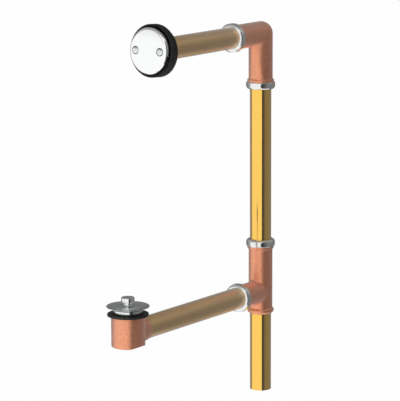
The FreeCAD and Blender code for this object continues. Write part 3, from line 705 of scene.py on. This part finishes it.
@dataclass
class WasteFlange:
    """Chromed flange with crossbars, and the rubber gasket that it stands over."""

    finishes: FinishSet
    reach: float = 381.0
    bath_face: float = 216.0
    foot: float = -26.0
    throat: float = 20.8
    barrel: float = 23.6
    # Up the outside of the bowl from the barrel, over the rim and down inside.
    bowl: Outline = (
        (23.6, 0.4), (24.2, 0.8, 1.6), (25.8, 2.4), (25.8, 7.6, -3.0), (28.8, 10.1), (36.4, 12.0),
        (36.4, 13.1), (26.0, 10.6), (25.3, 9.9), (25.3, 8.4), (20.8, 8.4))
    bowl_rounding: float = 0.45
    bowl_fine: float = 0.6
    bar_height: float = 4.0
    bar_width: float = 5.0
    bar_rounding: float = 0.4
    hub: float = 6.0
    hub_rounding: float = 0.3
    post: float = 3.05
    gasket_foot: float = -3.0
    gasket: Outline = ((24.2, 0), (35.0, 0), (35.0, 3.0), (26.5, 3.0), (25.9, 2.4), (24.2, 2.4))
    gasket_rounding: float = 0.5

    def bar(self, turn: float) -> bmesh.types.BMesh:
        """Make one crossbar, which spans the barrel at its foot.

        Args:
            turn: its direction in degrees.

        Returns:
            The bmesh in metres.
        """
        mesh = bmesh.new()
        bmesh.ops.create_cube(mesh, size=1)
        stretch = Matrix.Diagonal((self.throat + self.barrel, self.bar_width, self.bar_height, 1))
        bmesh.ops.transform(mesh, matrix=stretch, verts=mesh.verts)
        rounded(mesh, self.bar_rounding)
        lift = at(y=-self.reach, z=self.bath_face + self.foot + self.bar_height / 2, turn=turn)
        bmesh.ops.transform(mesh, matrix=TO_METRES @ lift, verts=mesh.verts)
        return mesh

    def build(self) -> None:
        """Spin the flange, its hub and the gasket and lay the crossbars in the barrel."""
        place = at(y=-self.reach, z=self.bath_face)
        body = spun([(self.throat, self.foot), (self.barrel, self.foot), *self.bowl], place,
                    self.bowl_rounding, fine=self.bowl_fine)
        hub = spun([(self.post, self.foot), (self.hub, self.foot), (self.hub, self.foot + self.bar_height),
                    (self.post, self.foot + self.bar_height)], place, self.hub_rounding)
        finished("waste_flange_turned", joined(body, hub, self.bar(0), self.bar(90)),
                 self.finishes.turned_chrome, Body.PIPEWORK, ("waste_flange",))
        below = at(y=-self.reach, z=self.bath_face + self.gasket_foot)
        finished("shoe_gasket_moulded", spun(self.gasket, below, self.gasket_rounding), self.finishes.rubber,
                 Body.PIPEWORK, ("shoe_gasket",))


@dataclass
class Stopper:
    """Lift and turn stopper with its post, stem, seal and knob."""

    finishes: FinishSet
    reach: float = 381.0
    underside: float = 226.4
    neck_top: float = 234.8
    # From the bore round the seal's groove, over the crowned top and up the neck.
    disc: Outline = (
        (4.95, -4.9), (18.6, -4.9), (18.6, -2.0), (17.0, -2.0), (17.0, 0.0), (24.6, 0.0), (24.6, 1.6, 60.0),
        (10.0, 4.1, -3.0), (7.5, 5.6), (7.5, 8.4), (4.95, 8.4))
    disc_rounding: float = 0.3
    # From the stem's socket round the skirt and over the crowned top.
    knob: Outline = (
        (0.0, 5.9), (4.95, 5.9), (4.95, 0.2), (10.95, 0.2), (11.25, 0.5), (11.25, 8.1, 1.0),
        (10.25, 9.1, 105.3), (0.0, 9.6))
    knob_rounding: float = 0.25
    knob_fine: float = 0.5

    def build(self) -> None:
        """Spin the disc and the knob and skin the works inside."""
        disc = spun(self.disc, at(y=-self.reach, z=self.underside), self.disc_rounding)
        finished("stopper_disc_turned", disc, self.finishes.turned_chrome, Body.STOPPER, ("stopper_disc",))
        knob = spun(self.knob, at(y=-self.reach, z=self.neck_top), self.knob_rounding, closed=False,
                    fine=self.knob_fine)
        finished("stopper_knob_polished", knob, self.finishes.chrome, Body.KNOB, ("stopper_knob",))
        skin("stopper_seal", self.finishes.rubber)
        for name in ("stopper_post", "stopper_post_pin", "stopper_stem"):
            skin(name, self.finishes.turned)
        skin("stem_clip", self.finishes.steel)


@dataclass
class OverflowPlate:
    """Faceplate, its screws and the sponge gasket behind it, on an axis that leans with the bath's end.

    The near sizes say how close a point lies to a cut to count as on it.
    """

    finishes: FinishSet
    reach: float = 297.0
    height: float = 650.0
    lean: float = 86.0
    radius: float = 39.5
    hem: float = 40.95
    hem_gap: float = 0.1
    edge: float = 25.0
    crown: float = 1.0
    shoulder: float = 4.8
    wall: float = 1.2
    facets: int = 320
    fine: float = 0.45
    foot_edge: float = -5.8
    foot_top: float = 21.9
    foot_lip: float = 0.4
    foot_near: float = 0.001
    screw: float = 25.7
    dimple_rim: float = 7.0
    dimple_floor: float = 5.9
    dimple: float = 2.2
    # Between these distances from a screw's axis, the dimple's wall gets the dark finish: painted shade.
    ring: tuple[float, float] = (5.0, 6.9)
    fine_band: tuple[float, float] = (4.5, 7.5)
    head_face: float = 26.1
    head_share: float = 0.91
    dome_share: float = 0.45
    head_sharp: float = 28.0
    sponge: float = 44.7
    sponge_front: float = 15.5
    sponge_back: float = 3.2
    sponge_hole: float = 31.5
    sponge_sharp: float = 50.0
    slice_near: float = 0.0001
    groove_edge: float = 41.1
    groove_slope: float = 0.05
    groove: float = 3.0
    ridge: float = 0.5
    front_pitch: float = 1.2
    side_pitch: float = 1.7

    def build(self) -> None:
        """Press the plate, mould the gasket and skin the screws."""
        place = at(y=-self.reach, z=self.height, tip=self.lean)
        self.plate(place)
        self.gasket(place)
        for side in ("left", "right"):
            self.flattened(skin("faceplate_screw_" + side, self.finishes.chrome, self.head_sharp), place)

    def flattened(self, screw: bpy.types.Object, place: Matrix) -> None:
        """Make a screw's head slightly smaller and flatter than its solid, so that the dimple's ring of
        painted shade shows round it.

        Args:
            screw: the screw's piece.
            place: where the plate's axis stands.
        """
        back = place.inverted()
        for vert in screw.data.vertices:
            spot = back @ (vert.co / MM)
            side = math.copysign(self.screw, spot.x)
            spot.x = side + (spot.x - side) * self.head_share
            spot.y *= self.head_share
            spot.z -= max(0.0, spot.z - self.head_face) * (1 - self.dome_share)
            vert.co = place @ spot * MM

    def screw_distance(self, spot: Vector) -> float:
        """Return how far a spot on the plate lies from the nearer screw's axis, in millimetres."""
        return math.hypot(abs(spot.x) - self.screw, spot.y)

    def dimpled(self, mesh: bmesh.types.BMesh) -> None:
        """Make the mesh finer round the screws, press a dimple for each and mark a ring in its wall for the
        dark finish, which is painted shade.

        Args:
            mesh: the plate's front skin in millimetres, its axis upright.
        """
        inner, outer = self.fine_band
        near = [f for f in mesh.faces if inner < self.screw_distance(f.calc_center_median()) < outer]
        bmesh.ops.subdivide_edges(mesh, edges=list({e for f in near for e in f.edges}), cuts=2,
                                  use_grid_fill=True)
        for vert in mesh.verts:
            depth = (self.dimple_rim - self.screw_distance(vert.co)) / (self.dimple_rim - self.dimple_floor)
            share = min(1.0, max(0.0, depth))
            vert.co.z -= self.dimple * share * share * (3 - 2 * share)
        # Faces in the ring round each screw take the dark second finish: painted shade in the dimple's wall.
        for face in mesh.faces:
            spot = face.calc_center_median()
            dull = self.ring[0] < self.screw_distance(spot) < self.ring[1]
            face.material_index = int(dull and spot.z > self.foot_top)

    def opened(self, mesh: bmesh.types.BMesh) -> None:
        """Cut the slot at the plate's foot, where the water enters.

        Args:
            mesh: the plate's front skin in millimetres, its axis upright.
        """
        skirt = [f for f in mesh.faces if f.calc_center_median().z < self.foot_top - self.foot_lip]
        low = skirt + list({e for f in skirt for e in f.edges} | {v for f in skirt for v in f.verts})
        bmesh.ops.bisect_plane(mesh, geom=low, dist=self.foot_near, plane_co=(0, self.foot_edge, 0),
                               plane_no=(0, 1, 0))
        cut = [f for f in mesh.faces
               if f.calc_center_median().z < self.foot_top and f.calc_center_median().y < self.foot_edge]
        bmesh.ops.delete(mesh, geom=cut, context="FACES")

    def plate(self, place: Matrix) -> None:
        """Spin the plate's front skin, press two dimples, open its foot and give it a wall.

        Args:
            place: where the plate's axis stands.
        """
        flat = self.radius - self.shoulder
        bend = (flat ** 2 + self.crown ** 2) / (2 * self.crown)
        mesh = spun([(self.hem, self.sponge_front - self.groove + self.hem_gap),
                     (self.radius, self.foot_top - self.foot_lip),
                     (self.radius, self.edge - self.shoulder, self.shoulder), (flat, self.edge, bend),
                     (0.0, self.edge + self.crown)],
                    IN_MILLIMETRES, closed=False, steps=self.facets, fine=self.fine)
        self.dimpled(mesh)
        self.opened(mesh)
        bmesh.ops.recalc_face_normals(mesh, faces=mesh.faces)
        bmesh.ops.transform(mesh, matrix=TO_METRES @ place, verts=mesh.verts)
        piece = finished("overflow_faceplate_pressed", mesh, self.finishes.plate, Body.PIPEWORK,
                         ("overflow_faceplate",))
        # The second slot is the dark chrome that paints shade in the dimples' rings.
        piece.data.materials.append(self.finishes.recess)
        wall = piece.modifiers.new("wall", "SOLIDIFY")
        wall.thickness = self.wall * MM
        wall.offset = -1

    def gasket(self, place: Matrix) -> None:
        """Spin the ridged gasket and slice its back off square to the level tube.

        Args:
            place: where the gasket's axis stands.
        """
        points = [(self.sponge_hole, -self.sponge_back), (self.sponge, -self.sponge_back)]
        top = self.sponge_front - self.ridge
        for step in range(int((top + self.sponge_back) / self.side_pitch)):
            height = top - (step + 0.5) * self.side_pitch
            points[2:2] = [(self.sponge - self.ridge, height), (self.sponge, height + self.side_pitch / 2)]
        for step in range(int((self.sponge - self.groove_edge) / self.front_pitch)):
            crest = self.sponge - step * self.front_pitch
            points += [(crest - self.front_pitch / 2, self.sponge_front), (crest - self.front_pitch, top)]
        points += [(self.groove_edge, self.sponge_front - self.groove),
                   (self.radius + self.groove_slope, self.sponge_front - self.groove),
                   (self.radius - self.groove_slope, self.sponge_front),
                   (self.sponge_hole, self.sponge_front)]
        mesh = spun(points, place)
        cut = bmesh.ops.bisect_plane(mesh, geom=mesh.verts[:] + mesh.edges[:] + mesh.faces[:],
                                     dist=self.slice_near * MM, plane_co=(0, -self.reach * MM, 0),
                                     plane_no=(0, 1, 0), clear_outer=True)
        rim = [e for e in cut["geom_cut"] if isinstance(e, bmesh.types.BMEdge)]
        bmesh.ops.triangle_fill(mesh, edges=rim, use_beauty=True)
        bmesh.ops.recalc_face_normals(mesh, faces=mesh.faces)
        finished("overflow_gasket_moulded", mesh, self.finishes.sponge, Body.PIPEWORK, ("overflow_gasket",),
                 self.sponge_sharp)


# Studio


@dataclass(frozen=True)
class Board:
    """A curved studio board that only reflections see, in metres.

    It runs between two bearings in degrees, counterclockwise from the front, and its level goes from one
    value at the height fade_from to another at fade_to.
    """

    name: str
    start: float
    end: float
    level: float
    high_level: float
    low: float = -14.0
    high: float = 12.0
    fade_from: float = 0.4
    fade_to: float = 9.0


@dataclass
class Studio:
    """Camera, lamp, floor and the boards that the bright metal reflects, in metres and degrees."""

    azimuth: float = 37.164
    elevation: float = 11.042
    roll: float = -0.269
    distance: float = 3.8939
    aim: tuple[float, float, float] = (0.0, -0.18, 0.37681)
    focal_px: float = 2249.99
    long_side_px: int = 401
    view_end: float = 100
    floor_radius: float = 30
    floor_drop: float = 0.35
    floor_colour: str = "#F4F4F4"
    floor_roughness: float = 0.9
    floor_white: float = 0.98
    front_bearing: float = 35.6
    board_radius: float = 12.0
    board_steps: int = 48
    round_steps: int = 96
    ceiling_level: float = 0.27
    ceiling_shift: float = 4.0
    world_level: float = 0.55
    lamp_size: float = 1.6
    lamp_watts: float = 30
    lamp_place: tuple[float, float, float] = (-1.2, -2.6, 2.2)
    lamp_aim: tuple[float, float, float] = (0, -0.2, 0.35)
    boards: tuple[Board, ...] = (
        Board("black_flag", 14, 33, 0.03, 0.05),
        Board("flag_edge", 33, 45, 0.10, 0.14),
        Board("dim_corner", 45, 57, 0.19, 0.28),
        Board("grey_wall", 57, 140, 0.21, 0.38),
        Board("dim_wall", 140, 200, 0.16, 0.24),
        Board("pale_corner", 200, 228, 0.20, 0.32),
        Board("pale_return", 228, 255, 0.33, 0.46),
        Board("left_sky", -105, -45, 1.0, 0.4, low=1.2, fade_from=1.2, fade_to=3.2),
    )

    def camera(self) -> None:
        """Stand the camera where the photograph was taken."""
        turn, tip = math.radians(self.azimuth), math.radians(self.elevation)
        back = Vector((math.sin(turn) * math.cos(tip), -math.cos(turn) * math.cos(tip), math.sin(tip)))
        data = bpy.data.cameras.new("camera")
        camera = bpy.data.objects.new("camera", data)
        bpy.context.scene.collection.objects.link(camera)
        data.lens = self.focal_px / self.long_side_px * data.sensor_width
        data.clip_end = self.view_end
        camera.location = Vector(self.aim) + back * self.distance
        level = (-back).to_track_quat("-Z", "Y").to_matrix()
        camera.rotation_euler = (level @ Matrix.Rotation(math.radians(self.roll), 3, "Z")).to_euler()
        bpy.context.scene.camera = camera

    def stand(self, name: str, mesh: bmesh.types.BMesh, material: bpy.types.Material) -> bpy.types.Object:
        """Add a stage object.

        Args:
            name: its name.
            mesh: its bmesh, which is freed here.
            material: its finish.

        Returns:
            The new object.
        """
        data = bpy.data.meshes.new(name)
        mesh.to_mesh(data)
        mesh.free()
        data.materials.append(material)
        stage = bpy.data.objects.new(name, data)
        bpy.context.scene.collection.objects.link(stage)
        return stage

    def floor(self) -> None:
        """Lay the plain pale floor well below the object; the camera sees it nearly white."""
        mesh = bmesh.new()
        bmesh.ops.create_circle(mesh, cap_ends=True, segments=self.round_steps, radius=self.floor_radius)
        bmesh.ops.translate(mesh, vec=(0, 0, -self.floor_drop), verts=mesh.verts)
        material = bpy.data.materials.new("pale_floor")
        material.use_nodes = True
        tree = material.node_tree
        shader = tree.nodes["Principled BSDF"]
        shader.inputs["Base Color"].default_value = linear(self.floor_colour)
        shader.inputs["Roughness"].default_value = self.floor_roughness
        white = add_node(tree, "ShaderNodeEmission", {"Color": (1, 1, 1, 1), "Strength": 1.0})
        seen = add_node(tree, "ShaderNodeLightPath").outputs["Is Camera Ray"]
        share = add_node(tree, "ShaderNodeMath", {"operation": "MULTIPLY", 1: self.floor_white}, {0: seen})
        both = add_node(tree, "ShaderNodeMixShader", {},
                        {0: share.outputs[0], 1: shader.outputs[0], 2: white.outputs[0]})
        tree.links.new(both.outputs[0], tree.nodes["Material Output"].inputs["Surface"])
        self.stand("floor", mesh, material).visible_glossy = False

    def glowing(self, name: str, mesh: bmesh.types.BMesh, settings: dict[str | int, object],
                fade: dict[str | int, object] | None = None) -> None:
        """Hang a glowing stage object that only reflections see.

        Args:
            name: its name, and its material's.
            mesh: its bmesh, which is freed here.
            settings: the glow's colour, as an Emission node takes it.
            fade: the glow's range over the height, as a Map Range node takes it.
        """
        material = bpy.data.materials.new(name)
        material.use_nodes = True
        tree = material.node_tree
        glow = add_node(tree, "ShaderNodeEmission", settings)
        if fade:
            place = add_node(tree, "ShaderNodeTexCoord").outputs["Object"]
            height = add_node(tree, "ShaderNodeSeparateXYZ", {}, {0: place}).outputs["Z"]
            level = add_node(tree, "ShaderNodeMapRange", fade, {"Value": height}).outputs["Result"]
            tree.links.new(level, glow.inputs["Strength"])
        tree.links.new(glow.outputs[0], tree.nodes["Material Output"].inputs["Surface"])
        stage = self.stand(name, mesh, material)
        stage.visible_camera = False
        stage.visible_diffuse = False
        stage.visible_shadow = False

    def board(self, board: Board) -> None:
        """Bend one board round the object.

        Args:
            board: where it stands and how bright it is.
        """
        mesh = bmesh.new()
        bearing = math.radians(self.front_bearing - 90 + board.start)
        foot = Vector((math.cos(bearing), math.sin(bearing), 0)) * self.board_radius
        ends = [mesh.verts.new(foot + Vector((0, 0, height))) for height in (board.low, board.high)]
        edge = mesh.edges.new(ends)
        sweep = math.radians(board.end - board.start)
        bmesh.ops.spin(mesh, geom=ends + [edge], cent=(0, 0, 0), axis=(0, 0, 1), dvec=(0, 0, 0),
                       angle=sweep, steps=self.board_steps, use_duplicate=False)
        self.glowing(board.name, mesh, {"Color": (1, 1, 1, 1)},
                     {"From Min": board.fade_from, "From Max": board.fade_to, "To Min": board.level,
                      "To Max": board.high_level})

    def ceiling(self) -> None:
        """Hang a grey ceiling on top of the boards, moved away from the camera."""
        mesh = bmesh.new()
        bmesh.ops.create_circle(mesh, cap_ends=True, segments=self.round_steps, radius=self.board_radius)
        behind = math.radians(self.front_bearing + 90)
        spot = (math.cos(behind) * self.ceiling_shift, math.sin(behind) * self.ceiling_shift,
                self.board_radius)
        bmesh.ops.translate(mesh, vec=spot, verts=mesh.verts)
        self.glowing("ceiling", mesh, {"Color": (self.ceiling_level,) * 3 + (1,)})

    def light(self) -> None:
        """Set the white surroundings and one soft lamp."""
        world = bpy.data.worlds.new("studio")
        bpy.context.scene.world = world
        world.use_nodes = True
        tree = world.node_tree
        tree.nodes.clear()
        path = add_node(tree, "ShaderNodeLightPath").outputs
        seen = path["Is Camera Ray"]
        for ray in ("Is Glossy Ray", "Is Transmission Ray"):
            seen = add_node(tree, "ShaderNodeMath", {"operation": "MAXIMUM"},
                            {0: seen, 1: path[ray]}).outputs[0]
        level = add_node(tree, "ShaderNodeMapRange", {"To Min": self.world_level, "To Max": 1.0},
                         {"Value": seen})
        sky = add_node(tree, "ShaderNodeBackground", {"Color": (1, 1, 1, 1)}, {"Strength": level.outputs[0]})
        add_node(tree, "ShaderNodeOutputWorld", {}, {"Surface": sky.outputs[0]})
        lamp = bpy.data.lights.new("soft_box", "AREA")
        lamp.size = self.lamp_size
        lamp.energy = self.lamp_watts
        box = bpy.data.objects.new("soft_box", lamp)
        box.location = self.lamp_place
        box.rotation_euler = (Vector(self.lamp_aim) - box.location).to_track_quat("-Z", "Y").to_euler()
        box.visible_glossy = False
        bpy.context.scene.collection.objects.link(box)

    def build(self) -> None:
        """Set up the whole studio."""
        self.camera()
        self.floor()
        for board in self.boards:
            self.board(board)
        self.ceiling()
        self.light()
        bpy.context.scene.view_settings.view_transform = "Standard"


def main() -> None:
    """Build the finishes, the sub-assemblies and the studio in order."""
    logging.basicConfig(level=logging.INFO, format="%(message)s")
    finishes = make_finishes()
    for part in (Pipework(finishes), SlipNuts(finishes), WasteFlange(finishes), Stopper(finishes),
                 OverflowPlate(finishes)):
        LOG.info("building %s", type(part).__name__)
        part.build()
    Studio().build()


if __name__ == "__main__":
    main()
